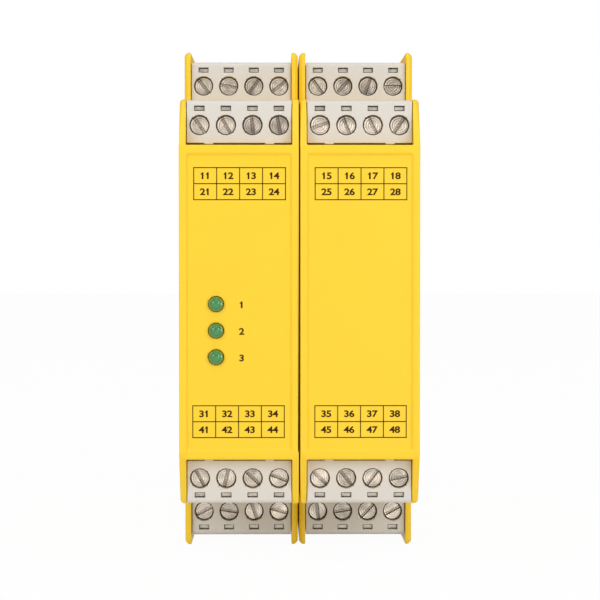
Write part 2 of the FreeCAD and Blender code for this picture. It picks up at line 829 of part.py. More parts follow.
def headerMaster():
    """The header behind a plug, in the plug's frame: a block with four square pins."""
    body = newBody("headerMaster")
    half = f"({roomHalf} - headerFit)"
    inner = "(-plugInner - plugFit + headerFit)"
    outer = "(tailOuter + plugFit - headerFit)"
    block = sketchOn(body, "YZ_Plane")
    start = f"({plugDepth} + headerGap)"
    polygon(block, [
        (start, inner),
        (start, outer),
        (f"({bayDepth} + flangeDepth)", outer),
        (f"({bayDepth} + flangeDepth)", f"({inner} - headerFit - wall / 2)"),
        (bayDepth, f"({inner} - headerFit - wall / 2)"),
        (bayDepth, inner),
    ])
    pad(body, block, f"2 * {half}", centred=True)
    pin = sketchOn(body, "XZ_Plane", f"-({start} + headerDepth / 2)")
    rectangle(
        pin, f"{firstPole} - pinSize / 2", f"{firstPole} + pinSize / 2", "-pinSize / 2", "pinSize / 2"
    )
    first = pad(body, pin, "headerDepth / 2 + headerGap + pinReach")
    repeatAcross(body, [first], polesPerPlug, "polePitch", True)
    return body


def circuitBoard(side):
    """The stepped board that stands behind the headers."""
    body = newBody("board" + side)
    outline = sketchOn(body, "YZ_Plane", f"({boardFace} - boardThickness)")
    behind = "(flangeDepth + boardFit)"
    middleEdge = f"({backRow} - plugInner - plugFit - partition - boardFit)"
    polygon(outline, bothHalves([
        (f"({frontPlane} + boardFront)", f"({capHalf} - wall - boardFit)"),
        (f"({frontBayEnd} + {behind})", f"({capHalf} - wall - boardFit)"),
        (f"({frontBayEnd} + {behind})", middleEdge),
        (f"({backBayEnd} + {behind})", middleEdge),
        (f"({backBayEnd} + {behind})", f"({topHalf} - shell - skirtFit - skirtWall - boardFit)"),
        ("(-boardRear)", f"({topHalf} - shell - skirtFit - skirtWall - boardFit)"),
    ]))
    pad(body, outline, "boardThickness")
    return body


def relayMaster():
    """A sealed relay on its board, with its long side along Y."""
    body = newBody("relayMaster")
    height = f"({relayTop} - {boardFace} - relayLid)"
    foot = sketchOn(body, "YZ_Plane")
    rectangle(foot, "0", "relayLength", "-relayWidth / 2", "relayWidth / 2")
    pad(body, foot, height)
    step = sketchOn(body, "YZ_Plane", height)
    lidHalf = "(relayWidth / 3)"
    rectangle(step, "relayGap / 3", "relayLength - relayGap / 3", f"-{lidHalf}", lidHalf)
    pad(body, step, "relayLid")
    return body


def lightMaster():
    """A small round indicator light with a collar and two legs bent to the board."""
    body = newBody("lightMaster")
    lens = sketchOn(body, "XZ_Plane", "lightRise")
    circle(lens, "0", "0", "lightDiameter")
    pad(body, lens, "lightRise + frontSkin + collarDepth", backward=True)
    bevelFront(body, "lightBevel")
    collar = sketchOn(body, "XZ_Plane", "-frontSkin")
    regular(collar, "0", "0", "lightCollar", roundSides)
    pad(body, collar, "collarDepth", backward=True)
    drop = f"({boardFace} + lightOffset)"
    legEnd = "(frontSkin + collarDepth + legLength)"
    for level in ("legSpacing / 2", "-legSpacing / 2"):
        leg = sketchOn(body, "XY_Plane", level)
        polygon(leg, [
            ("-legSize / 2", "(frontSkin + collarDepth / 2)"),
            ("legSize / 2", "(frontSkin + collarDepth / 2)"),
            ("legSize / 2", legEnd),
            (drop, legEnd),
            (drop, f"({legEnd} - legSize)"),
            ("-legSize / 2", f"({legEnd} - legSize)"),
        ])
        pad(body, leg, "legSize", centred=True)
    return body


def gather(label, pieces):
    """Like pieces of one node, kept as separate solids."""
    group = doc.addObject("Part::Compound", label)
    group.Links = pieces
    return group


subParts = []

for side, sign in sides.items():
    centre = f"{sign} * {moduleCentre}"
    front = frontHousing(side)
    if side == "left":
        addLightHoles(front)
        addKeys(front)
    else:
        addKeyways(front)
    for piece in (front, rearBase(side), dinLatch(side), latchSpring(side)):
        place(piece, across=centre)
        subParts.append(piece)

plug = plugMaster()
screw = screwMaster()
clamp = clampMaster()
header = headerMaster()
headers = []
tiers = {"front": (frontFace, frontRow), "back": (backFace, backRow)}

for side, sign in sides.items():
    for end, turn in ends.items():
        for tier, (face, rowHeight) in tiers.items():
            name = f"{side}_{end}_{tier}"
            up = rowHeight if end == "top" else f"-{rowHeight}"
            centre = f"{sign} * {moduleCentre}"
            where = {"across": centre, "deep": face, "up": up, "turn": turn}
            subParts.append(placedCopy(plug, "plug_" + name, **where))
            subParts.append(placedCopy(clamp, "clamps_" + name, **where))
            headers.append(placedCopy(header, "header_" + name, **where))
            for pole, lean in enumerate(slotLeans[name]):
                across = f"{centre} + {firstPole} + {pole} * polePitch"
                label = f"screw_{name}_{pole + 1}"
                where = {"across": across, "deep": face, "up": up, "turn": lean}
                subParts.append(placedCopy(screw, label, **where))

boards = []
relays = []
relay = relayMaster()
for side, sign in sides.items():
    centre = f"{sign} * {moduleCentre}"
    board = circuitBoard(side)
    place(board, across=centre)
    boards.append(board)
    for half in (1, -1):
        relays.append(placedCopy(
            relay,
            f"relay_{side}_{half}",
            across=f"{centre} + {boardFace}",
            deep=f"{frontPlane} + boardFront + relayGap",
            up=f"{half} * (relayWidth / 2 + relayGap / 2)",
        ))

light = lightMaster()
lights = [
    placedCopy(
        light,
        f"light_{number}",
        across=f"-{moduleCentre} - lightOffset",
        deep=frontPlane,
        up=f"lightTop - {number} * lightPitch",
    )
    for number in range(3)
]

subParts.append(gather("header_strips", headers))
subParts.append(gather("circuit_boards", boards))
subParts.append(gather("relays", relays))
subParts.append(gather("indicator_lights", lights))
doc.recompute()

for thing in doc.Objects:
    if any(word in thing.State for word in ("Invalid", "Error")):
        raise RuntimeError(f"{thing.Label} did not build")

os.makedirs("parts", exist_ok=True)
for part in subParts:
    shape = part.Shape
    if shape.isNull() or not shape.isValid() or not shape.Solids:
        raise RuntimeError(f"{part.Label} has no sound solid")
for part in subParts:
    part.Shape.exportStep(os.path.join("parts", part.Label + ".step"))
print(len(subParts), "sub-parts written")
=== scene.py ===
import bpy
import math
from mathutils import Matrix, Vector


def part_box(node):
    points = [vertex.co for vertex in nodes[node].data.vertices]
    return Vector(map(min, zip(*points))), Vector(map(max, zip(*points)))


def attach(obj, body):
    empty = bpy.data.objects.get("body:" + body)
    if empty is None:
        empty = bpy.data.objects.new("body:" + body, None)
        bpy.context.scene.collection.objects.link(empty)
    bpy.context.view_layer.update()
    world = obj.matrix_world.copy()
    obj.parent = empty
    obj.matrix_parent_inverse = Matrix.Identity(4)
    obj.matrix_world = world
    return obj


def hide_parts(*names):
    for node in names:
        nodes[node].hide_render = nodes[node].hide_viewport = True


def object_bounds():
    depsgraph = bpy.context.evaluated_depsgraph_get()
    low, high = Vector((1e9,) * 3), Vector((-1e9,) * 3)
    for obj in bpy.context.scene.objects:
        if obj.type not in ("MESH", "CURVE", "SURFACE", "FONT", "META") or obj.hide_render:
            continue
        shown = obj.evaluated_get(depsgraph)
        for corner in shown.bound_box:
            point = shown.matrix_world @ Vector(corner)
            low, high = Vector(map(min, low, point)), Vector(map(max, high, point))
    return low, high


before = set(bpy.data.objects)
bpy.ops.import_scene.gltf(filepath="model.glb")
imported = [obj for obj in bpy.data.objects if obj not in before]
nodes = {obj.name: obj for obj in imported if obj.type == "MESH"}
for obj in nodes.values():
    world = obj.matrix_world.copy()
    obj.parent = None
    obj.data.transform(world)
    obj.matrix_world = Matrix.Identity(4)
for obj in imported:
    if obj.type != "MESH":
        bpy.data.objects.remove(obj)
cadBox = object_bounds()
mm = 0.001
sides = ("left", "right")
ends = ("top", "bottom")
plugNames = [f"{side}_{end}_{tier}" for side in sides for end in ends for tier in ("front", "back")]
onPlane = 0.01 * mm  # points nearer than this to a plane lie on it
print("frame loaded")


# Small helpers for working on one object at a time

def only(*objects):
    bpy.ops.object.select_all(action="DESELECT")
    for obj in objects:
        obj.select_set(True)
    bpy.context.view_layer.objects.active = objects[0]


def editAll(obj):
    only(obj)
    bpy.ops.object.mode_set(mode="EDIT")
    bpy.ops.mesh.select_mode(type="VERT")
    bpy.ops.mesh.select_all(action="SELECT")


def doneEditing():
    bpy.ops.object.mode_set(mode="OBJECT")


def copyOf(nodeName, pieceName):  # a merged copy of a CAD node, ready to be worked on
    obj = bpy.data.objects.new(pieceName, nodes[nodeName].data.copy())
    bpy.context.scene.collection.objects.link(obj)
    obj.data.materials.clear()
    editAll(obj)
    bpy.ops.mesh.customdata_custom_splitnormals_clear()
    bpy.ops.mesh.remove_doubles(threshold=onPlane / 5)
    bpy.ops.mesh.dissolve_limited(angle_limit=math.radians(1))
    doneEditing()
    return obj


def applied(obj, kind, **settings):
    only(obj)
    modifier = obj.modifiers.new(kind.lower(), kind)
    for name, value in settings.items():
        setattr(modifier, name, value)
    bpy.ops.object.modifier_apply(modifier=modifier.name)


def cutBy(obj, cutter):
    applied(obj, "BOOLEAN", operation="DIFFERENCE", solver="EXACT", object=cutter)
    bpy.data.objects.remove(cutter)


def pickPoints(obj, chosen):  # goes into edit mode with the points that pass a test
    editAll(obj)
    bpy.ops.mesh.select_all(action="DESELECT")
    doneEditing()
    for vertex in obj.data.vertices:
        vertex.select = chosen(vertex.co)
    bpy.ops.object.mode_set(mode="EDIT")


def pickEdges(obj, chosen, among=None):  # the same with edges, all of them or only the flagged ones
    editAll(obj)
    bpy.ops.mesh.select_mode(type="EDGE")
    bpy.ops.mesh.select_all(action="DESELECT")
    doneEditing()
    points = [vertex.co for vertex in obj.data.vertices]
    for edge in obj.data.edges:
        first, second = (points[k] for k in edge.vertices)
        edge.select = (among is None or among[edge.index]) and chosen(first, second)
    bpy.ops.object.mode_set(mode="EDIT")


def sharpEdges(obj, sharperThan):  # one flag for each edge
    editAll(obj)
    bpy.ops.mesh.select_mode(type="EDGE")
    bpy.ops.mesh.select_all(action="DESELECT")
    bpy.ops.mesh.edges_select_sharp(sharpness=math.radians(sharperThan))
    doneEditing()
    return [edge.select for edge in obj.data.edges]


def softenEdges(obj, width, steps=2, sharperThan=30, chosen=lambda first, second: True):
    pickEdges(obj, chosen, sharpEdges(obj, sharperThan))
    bpy.ops.transform.edge_bevelweight(value=1)
    doneEditing()
    applied(
        obj, "BEVEL", width=width, segments=steps, limit_method="WEIGHT",
        use_clamp_overlap=False, miter_outer="MITER_ARC",
    )
    only(obj)
    bpy.ops.object.shade_smooth_by_angle(angle=math.radians(40))
    applied(obj, "WEIGHTED_NORMAL", keep_sharp=True, weight=100)


def block(low, high):
    centre = [(a + b) / 2 for a, b in zip(low, high)]
    bpy.ops.mesh.primitive_cube_add(size=1, location=centre, scale=[b - a for a, b in zip(low, high)])
    return bpy.context.object


def rod(radius, start, end, sides=64):  # a round bar along Y from one point to a depth
    depth = end - start[1]
    bpy.ops.mesh.primitive_cylinder_add(
        vertices=sides, radius=radius, depth=depth,
        location=(start[0], start[1] + depth / 2, start[2]), rotation=(math.pi / 2, 0, 0),
    )
    return bpy.context.object


def settle(obj, name, body, finish, replaced=()):  # puts the place into the mesh and hands it over
    obj.name = obj.data.name = name
    bpy.context.view_layer.update()
    obj.data.transform(obj.matrix_world)
    obj.matrix_world = Matrix.Identity(4)
    obj.data.materials.clear()
    obj.data.materials.append(finish)
    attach(obj, body)
    if replaced:
        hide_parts(*replaced)
    return obj


def duplicate(obj):
    twin = bpy.data.objects.new(obj.name, obj.data.copy())
    bpy.context.scene.collection.objects.link(twin)
    return twin


def joined(objects):
    only(*objects)
    bpy.ops.object.join()
    return bpy.context.object


# Materials: sums and products of signals add Math nodes

class Signal:
    def __init__(self, finish, socket):
        self.finish = finish
        self.socket = socket

    def __add__(self, other):
        return self.finish.maths("ADD", self, other)

    def __mul__(self, other):
        return self.finish.maths("MULTIPLY", self, other)

    def __sub__(self, other):
        return self.finish.maths("SUBTRACT", self, other)

    __radd__ = __add__
    __rmul__ = __mul__


class Finish:
    def __init__(self, name):
        self.material = bpy.data.materials.new(name)
        self.material.use_nodes = True
        self.tree = self.material.node_tree
        self.tree.nodes.clear()

    def node(self, kind, settings=None, sockets=None, output=0):
        made = self.tree.nodes.new("ShaderNode" + kind)
        for name, value in (settings or {}).items():
            setattr(made, name, value)
        for name, value in (sockets or {}).items():
            if isinstance(value, Signal):
                self.tree.links.new(value.socket, made.inputs[name])
            else:
                made.inputs[name].default_value = value
        return Signal(self, made.outputs[output]) if len(made.outputs) else None

    def maths(self, operation, first, second):
        return self.node("Math", {"operation": operation}, {0: first, 1: second})

    def place(self):
        return self.node("TexCoord", output="Object")

    def noise(self, size, detail=2.0):  # size is the width of one grain in metres
        sockets = {"Vector": self.place(), "Scale": 1 / size, "Detail": detail, "Roughness": 0.55}
        return self.node("TexNoise", {}, sockets, output="Fac")

    def mixed(self, amount, first, second):
        sockets = {0: amount, 6: first, 7: second}
        return self.node("Mix", {"data_type": "RGBA"}, sockets, output=2)

    def bump(self, height, strength, depth):
        return self.node("Bump", {}, {"Strength": strength, "Distance": depth, "Height": height})

    def surface(self, **sockets):
        named = {key.replace("_", " "): value for key, value in sockets.items()}
        shader = self.node("BsdfPrincipled", {}, named)
        self.node("OutputMaterial", {}, {"Surface": shader})
        return self.material


def rgb(red, green, blue):  # a display colour as the shader wants it
    return tuple(v / 12.92 if v <= 0.04045 else ((v + 0.055) / 1.055) ** 2.4 for v in (red, green, blue))


def solid(colour, share=1.0):
    return (*[min(1.0, channel * share) for channel in colour], 1)


plastics = {  # a display colour, the grain's width and the bump in mm, the roughness and the colour's drift
    "yellowHousing": (rgb(0.99, 0.822, 0.14), 0.12, 0.006, 0.42, 0.025),
    "greyPlug": (rgb(0.86, 0.838, 0.805), 0.10, 0.004, 0.46, 0.03),
    "blackHeader": (rgb(0.09, 0.09, 0.09), 0.10, 0.004, 0.45, 0.08),
    "blackLatch": (rgb(0.11, 0.11, 0.115), 0.12, 0.006, 0.5, 0.08),
    "relayCase": (rgb(0.16, 0.17, 0.18), 0.2, 0.003, 0.35, 0.06),
}


def mouldedPlastic(name):
    shade, grainWidth, bump, roughness, drift = plastics[name]
    finish = Finish(name)
    broad = finish.noise(14 * mm, 3.0)
    grain = finish.noise(grainWidth * mm, 2.0)
    return finish.surface(
        Base_Color=finish.mixed(broad, solid(shade, 1 - drift), solid(shade, 1 + drift)),
        Roughness=roughness - 0.05 + 0.1 * grain,
        Normal=finish.bump(grain, 0.5, bump * mm),
        IOR=1.5,
    )


metals = {
    "screwZinc": {"colour": rgb(0.86, 0.81, 0.745), "rough": 0.34, "ring": 0.45},
    "tinnedContact": {"colour": rgb(0.84, 0.81, 0.75), "rough": 0.46, "ring": 0.0},
    "springSteel": {"colour": rgb(0.72, 0.72, 0.72), "rough": 0.28, "ring": 0.0},
}


def platedMetal(name):  # fine turning rings follow the piece's own map where it has one
    look = metals[name]
    finish = Finish(name)
    stain = finish.noise(1.0 * mm, 4.0)
    scuff = finish.noise(0.25 * mm, 3.0)
    height = scuff * 0.6
    shade = stain * 1.6 - 0.3
    if look["ring"]:
        batch = finish.noise(5 * mm, 1.0)
        ownMap = finish.node("UVMap", {"uv_map": "face"})
        rings = finish.node(
            "TexWave",
            {"wave_type": "RINGS", "rings_direction": "SPHERICAL"},
            {"Vector": ownMap, "Scale": 0.314 / look["ring"], "Distortion": 0.9, "Detail": 1.0},
            output="Fac",
        )
        height = height + rings * 0.7
        across = finish.node("SeparateXYZ", {}, {"Vector": ownMap})
        # the slot floor is darkened in the colour: painted shade for the shadow inside the sawn slot
        slotPaintedShade = finish.maths("LESS_THAN", finish.maths("ABSOLUTE", across, 0), screw["slotWidth"] / 2 / mm)
        shade = stain * 1.3 + batch * 1.5 + rings * 0.35 - 1.1 - slotPaintedShade * 0.35
    shade = finish.maths("MINIMUM", finish.maths("MAXIMUM", shade, 0), 1)
    colour = finish.mixed(shade, solid(look["colour"], 0.5), solid(look["colour"], 1.3))
    return finish.surface(
        Base_Color=colour,
        Metallic=1.0,
        Roughness=look["rough"] - 0.08 + 0.2 * stain,
        Normal=finish.bump(height, 0.8, 0.04 * mm),
    )


def circuitLacquer():
    finish = Finish("boardLacquer")
    weave = finish.noise(0.5 * mm, 2.0)
    colour = finish.mixed(weave, solid(rgb(0.05, 0.30, 0.15)), solid(rgb(0.07, 0.36, 0.18)))
    weaveBump = finish.bump(weave, 0.3, 0.01 * mm)
    return finish.surface(Base_Color=colour, Roughness=0.3 + 0.1 * weave, Normal=weaveBump)


def greenLens():  # the rim lets the yellow round it show through a little
    finish = Finish("greenLens")
    cloud = finish.noise(0.8 * mm, 2.0)
    colour = finish.mixed(cloud, solid(rgb(0.15, 0.47, 0.24)), solid(rgb(0.27, 0.60, 0.34)))
    out = finish.node("SeparateXYZ", {}, {"Vector": finish.node("UVMap", {"uv_map": "face"})})
    # the olive rim is painted light: the yellow housing round the lens, seen through its edge, painted into
    # the colour
    rim = finish.maths("SMOOTH_MAX", (out - 1.02) * 5, 0)
    rim = finish.maths("MINIMUM", rim, 1)
    colour = finish.mixed(rim, colour, solid(rgb(0.42, 0.52, 0.12)))
    gloss = 0.16 + 0.08 * cloud
    return finish.surface(Base_Color=colour, Roughness=gloss, Coat_Weight=0.6, Coat_Roughness=0.08)


def printInk():
    finish = Finish("printInk")
    speck = finish.noise(0.08 * mm, 2.0)
    colour = finish.mixed(speck, solid(rgb(0.20, 0.11, 0.0)), solid(rgb(0.28, 0.17, 0.01)))
    return finish.surface(Base_Color=colour, Roughness=0.5 + 0.1 * speck, Specular_IOR_Level=0.15)


screw = {
    "sides": 48,
    "head": 1.76 * mm,
    "headHeight": 1.6 * mm,
    "rim": 0.2 * mm,
    "slotWidth": 0.55 * mm,
    "slotDepth": 0.8 * mm,
    "root": 1.02 * mm,
    "crest": 1.24 * mm,
    "pitch": 0.5 * mm,
    "length": 7.05 * mm,
    "edge": 0.05 * mm,
}
finishes = {name: mouldedPlastic(name) for name in plastics}
finishes.update({name: platedMetal(name) for name in metals})
finishes["boardLacquer"] = circuitLacquer()
finishes["greenLens"] = greenLens()
finishes["printInk"] = printInk()
print("finishes made")


# Housings, with the moulded edges rounded

housing = {
    "edge": 0.2 * mm,
    "foot": 0.3 * mm,
    "fieldDepth": 0.5 * mm,
    "fieldLean": 0.42 * mm,
    "fieldEnds": 20 * mm,
    "cheek": 0.8 * mm,
    "cheekStep": 0.25 * mm,
    "cheekDrop": 1.5 * mm,
    "cheekLongest": 30 * mm,
    "plugFit": 0.05 * mm,
    "plugGap": 0.22 * mm,
    "lightHole": 0.92,
    "lightReach": 1.8 * mm,
    "lightShift": (0.14 * mm, 0, 0.12 * mm),
    "lightStep": 5.0 * mm,
}
plugLow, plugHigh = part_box("plug_left_top_front")
lightLow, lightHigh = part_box("indicator_lights")


def widenPlugGap(shell):  # the panel's ends stand a little clear of the plugs
    seat = plugLow.z - housing["plugFit"]
    for end in (1, -1):
        pickPoints(shell, lambda p: abs(end * p.z - seat) < 3 * onPlane)
        bpy.ops.transform.translate(value=(0, 0, -end * housing["plugGap"]))
        doneEditing()


def roundCheeks(shell, side):  # the outer upper edges of the front step
    low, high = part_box("front_housing_" + side)
    level = plugHigh.z + housing["cheekStep"]

    def onCheek(first, second):
        onSide = all(min(abs(p.x - low.x), abs(p.x - high.x)) < onPlane for p in (first, second))
        up = abs(first.z + second.z) / 2
        atLevel = level - housing["cheekDrop"] < up < level + 5 * onPlane
        return onSide and atLevel and (first - second).length < housing["cheekLongest"]

    pickEdges(shell, onCheek)
    bpy.ops.mesh.bevel(offset=housing["cheek"], segments=4, affect="EDGES")
    doneEditing()


def squareFlat(shell, axis, level):  # cuts one flat into rectangles, so that its edges round off cleanly
    others = [k for k in range(3) if k != axis]

    def inFlat(p):
        return abs(p[axis] - level) < onPlane

    def slanted(first, second):
        lean = min(abs(first[k] - second[k]) for k in others)
        return inFlat(first) and inFlat(second) and lean > 2 * onPlane

    corners = [vertex.co.copy() for vertex in shell.data.vertices if inFlat(vertex.co)]
    for k in others:
        normal = [1 if n == k else 0 for n in range(3)]
        lines = []
        for place in sorted(p[k] for p in corners):
            if not lines or place - lines[-1] > 5 * onPlane:
                lines.append(place)
        for place in lines[1:-1]:
            pickPoints(shell, inFlat)
            across = [place * n for n in normal]
            bpy.ops.mesh.bisect(plane_co=across, plane_no=normal, threshold=onPlane / 2)
            doneEditing()
    pickEdges(shell, slanted)
    bpy.ops.mesh.dissolve_edges(use_verts=False)
    doneEditing()


def squareRoofs(shell, most=12):  # squares the flats that face up or down and have more corners than this
    crowded = [p for p in shell.data.polygons if abs(p.normal.z) > 0.999 and len(p.vertices) > most]
    for level in sorted({round(p.center.z, 5) for p in crowded}):
        squareFlat(shell, 2, level)


def slopeField(shell, side):  # the sides of the shallow panel field lean inwards
    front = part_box("front_housing_" + side)[0].y
    low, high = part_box("rear_base_" + side)
    width = plugHigh.x - plugLow.x
    height = plugLow.z - mm

    def onFloor(p):
        deep = abs(p.y - front - housing["fieldDepth"]) < 2 * onPlane
        return deep and housing["fieldEnds"] < abs(p.z) < height

    pickPoints(shell, onFloor)
    lean = housing["fieldLean"]
    bpy.ops.transform.resize(
        value=(1 - 2 * lean / width, 1, 1 - lean / height), center_override=((low.x + high.x) / 2, front, 0)
    )
    doneEditing()


def fitLightHoles(shell):  # each hole closes in on its lens
    middle = (lightLow + lightHigh) / 2
    for k in (-1, 0, 1):
        z = middle.z + k * housing["lightStep"]
        pickPoints(shell, lambda p: math.hypot(p.x - middle.x, p.z - z) < housing["lightReach"])
        share = housing["lightHole"]
        bpy.ops.transform.resize(value=(share, 1, share), center_override=(middle.x, lightLow.y, z))
        bpy.ops.transform.translate(value=housing["lightShift"])
        doneEditing()


def keepInside(shell, side):  # no rounded corner reaches past the solid
    low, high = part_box("front_housing_" + side)
    for vertex in shell.data.vertices:
        vertex.co.x = min(max(vertex.co.x, low.x), high.x)


yellow = finishes["yellowHousing"]
for side in sides:
    shell = copyOf("front_housing_" + side, "shell")
    squareFlat(shell, 1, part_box("front_housing_" + side)[0].y)
    squareRoofs(shell)
    widenPlugGap(shell)
    roundCheeks(shell, side)
    if side == "left":
        fitLightHoles(shell)
    slopeField(shell, side)
    softenEdges(shell, housing["edge"])
    keepInside(shell, side)
    settle(shell, "frontHousing_" + side, "housing", yellow, ["front_housing_" + side])
    base = copyOf("rear_base_" + side, "base")
    softenEdges(base, housing["foot"])
    settle(base, "rearBase_" + side, "housing", yellow, ["rear_base_" + side])
    latch = copyOf("din_latch_" + side, "latch")
    softenEdges(latch, housing["foot"])
    settle(latch, "railLatch_" + side, "latch " + side, finishes["blackLatch"],
           ["din_latch_" + side])
print("housings done")


# Plugs: one is worked out, with its round screw holes, and the others are copies of it

plug = {"edge": 0.12 * mm, "longEdge": 8 * mm, "holeRadius": 1.92 * mm, "holeDepth": 3.02 * mm, "poles": 4}


def screwAxes(name):  # where the four screws of a plug stand
    places = []
    for pole in range(plug["poles"]):
        low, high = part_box(f"screw_{name}_{pole + 1}")
        places.append((low + high) / 2)
    return places


def plugFace(name):  # the depth of its front
    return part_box("plug_" + name)[0].y


def refinedPlug(name):
    obj = copyOf("plug_" + name, "plug")
    face = plugFace(name)
    for place in screwAxes(name):
        cutBy(obj, rod(plug["holeRadius"], (place.x, face - mm, place.z), face + plug["holeDepth"]))

    def outside(first, second):  # the long edges, and all the rims in the face
        inFace = all(p.y < face + 2 * onPlane for p in (first, second))
        return inFace or (first - second).length > plug["longEdge"]

    softenEdges(obj, plug["edge"], chosen=outside)
    return obj


firstPlug = plugNames[0]
masterPlug = refinedPlug(firstPlug)


def plugOrigin(name):
    places = screwAxes(name)
    middle = (places[0] + places[-1]) / 2
    return Vector((middle.x, plugFace(name), middle.z))


def plugTurn(name):
    return Matrix.Rotation(math.pi if "bottom" in name else 0, 4, "Y")


for name in plugNames:
    twin = duplicate(masterPlug)
    fromFirst = Matrix.Translation(-plugOrigin(firstPlug))
    twin.matrix_world = Matrix.Translation(plugOrigin(name)) @ plugTurn(name) @ fromFirst
    settle(twin, "plugBody_" + name, "plug " + name.replace("_", " "), finishes["greyPlug"],
           ["plug_" + name])
bpy.data.objects.remove(masterPlug)
print("plugs done")


# Screws: a turned head with a rolled rim, a sawn slot and a threaded shank

def turned(profile, sides):  # a round solid about Y from pairs of radius and depth
    bpy.ops.mesh.primitive_circle_add(
        vertices=sides, radius=profile[0][0], fill_type="NGON",
        location=(0, 0, 0), rotation=(math.pi / 2, 0, 0),
    )
    obj = bpy.context.object
    only(obj)
    bpy.ops.object.transform_apply(location=True, rotation=True, scale=True)
    bpy.ops.object.mode_set(mode="EDIT")
    bpy.ops.mesh.select_all(action="SELECT")
    radius, depth = profile[0]
    bpy.ops.transform.translate(value=(0, depth, 0))
    for nextRadius, nextDepth in profile[1:]:
        bpy.ops.mesh.extrude_region_move(TRANSFORM_OT_translate={"value": (0, nextDepth - depth, 0)})
        share = nextRadius / radius
        bpy.ops.transform.resize(value=(share, 1, share), center_override=(0, nextDepth, 0))
        radius, depth = nextRadius, nextDepth
    bpy.ops.mesh.select_all(action="SELECT")
    bpy.ops.mesh.normals_make_consistent(inside=False)
    doneEditing()
    return obj


def makeScrew():
    head, rim, deep = screw["head"], screw["rim"], screw["headHeight"]
    profile = [(head - rim, 0), (head - rim * 0.3, rim * 0.3), (head, rim)]
    profile += [(head, deep - rim / 2), (head - rim / 2, deep)]
    depth = deep + 0.05 * mm
    profile.append((screw["root"], depth))
    while depth + screw["pitch"] < screw["length"]:
        profile.append((screw["crest"], depth + screw["pitch"] * 0.4))
        profile.append((screw["crest"], depth + screw["pitch"] * 0.6))
        profile.append((screw["root"], depth + screw["pitch"]))
        depth += screw["pitch"]
    profile.append((screw["root"] * 0.9, screw["length"]))
    obj = turned(profile, screw["sides"])
    half = screw["slotWidth"] / 2
    cutBy(obj, block((-half, -mm, -2 * head), (half, screw["slotDepth"], 2 * head)))
    softenEdges(obj, screw["edge"], 1, 50)
    ownMap = obj.data.uv_layers.new(name="face")
    for loop in obj.data.loops:
        point = obj.data.vertices[loop.vertex_index].co
        ownMap.data[loop.index].uv = (point.x / mm, point.z / mm)
    return obj


def slotTurn(nodeName):  # how far the CAD screw's slot is turned about Y, read from its two slot walls
    mesh = nodes[nodeName].data
    front = min(vertex.co.y for vertex in mesh.vertices)
    low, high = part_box(nodeName)
    middle = (low + high) / 2
    floor = [v.co - middle for v in mesh.vertices if front + 0.5 * mm < v.co.y < front + 1.2 * mm]
    far = max(floor, key=lambda p: math.hypot(p.x, p.z))
    near = max(floor, key=lambda p: far.x * p.x + far.z * p.z if (p - far).length > 0.1 * mm else -1)
    along = far + near
    return math.atan2(along.x, along.z)


masterScrew = makeScrew()
for name in plugNames:
    for pole, place in enumerate(screwAxes(name), 1):
        node = f"screw_{name}_{pole}"
        twin = duplicate(masterScrew)
        front = Matrix.Translation((place.x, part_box(node)[0].y, place.z))
        twin.matrix_world = front @ Matrix.Rotation(slotTurn(node), 4, "Y")
        body = node.replace("_", " ")
        settle(twin, f"clampScrew_{name}_{pole}", body, finishes["screwZinc"], [node])
bpy.data.objects.remove(masterScrew)
print("screws done")


# Lights: a domed lens in a thin rim

light = {
    "radius": 1.36 * mm,
    "dome": 0.98 * mm,
    "rise": 0.5 * mm,
    "ledge": 0.16 * mm,
    "body": 2.0 * mm,
    "legsFrom": 2.2 * mm,
    "sides": 48,
    "steps": 7,
}


def lightCentres():
    mesh = nodes["indicator_lights"].data
    front = min(vertex.co.y for vertex in mesh.vertices)
    tips = [vertex.co for vertex in mesh.vertices if vertex.co.y < front + onPlane]
    top = max(p.z for p in tips)
    bottom = min(p.z for p in tips)
    across = (max(p.x for p in tips) + min(p.x for p in tips)) / 2
    half = (max(p.x for p in tips) - min(p.x for p in tips)) / 2
    first = top - half
    step = (top - bottom - 2 * half) / 2
    return [Vector((across, front, first - k * step)) for k in range(3)]


def makeLens():
    profile = []
    for k in range(light["steps"] + 1):
        angle = math.radians(12 + 78 * k / light["steps"])
        profile.append((light["dome"] * math.sin(angle), light["rise"] * (1 - math.cos(angle))))
    rim = light["radius"] - light["ledge"]
    profile.append((rim, light["rise"] + 0.04 * mm))
    profile.append((light["radius"] - light["ledge"] * 0.3, light["rise"] + light["ledge"] * 0.5))
    profile.append((light["radius"], light["rise"] + light["ledge"]))
    profile.append((light["radius"], light["rise"] + light["body"]))
    obj = turned(profile, light["sides"])
    ownMap = obj.data.uv_layers.new(name="face")
    for loop in obj.data.loops:
        point = obj.data.vertices[loop.vertex_index].co
        ownMap.data[loop.index].uv = (math.hypot(point.x, point.z) / mm, 0)
    only(obj)
    bpy.ops.object.shade_smooth_by_angle(angle=math.radians(50))
    return obj


centres = lightCentres()
lenses = []
masterLens = makeLens()
for centre in centres:
    twin = duplicate(masterLens)
    twin.data.transform(Matrix.Translation(centre + Vector(housing["lightShift"])))
    lenses.append(twin)
bpy.data.objects.remove(masterLens)
legs = copyOf("indicator_lights", "legs")
editAll(legs)
bpy.ops.mesh.bisect(
    plane_co=(0, lightLow.y + light["legsFrom"], 0), plane_no=(0, 1, 0), clear_inner=True, use_fill=True
)
doneEditing()
settle(joined([legs] + lenses), "indicatorLights", "housing", finishes["greenLens"],
       ["indicator_lights"])
print("lights done")


# Print: terminal grids and plain numbers on the panels

legend = {
    "cellHeight": 3.0 * mm,
    "line": 0.175 * mm,
    "ink": 0.02 * mm,
    "digitHeight": 1.24 * mm,
    "fontShare": 1.38,
    "bolder": 0.05 * mm,
    "wider": 1.2,
    "advance": 0.98 * mm,
    "columns": 4,
    "rows": 2,
    "gridWidth": 17.2 * mm,
    "beside": 4.95 * mm,
    "drop": 0.09 * mm,
}
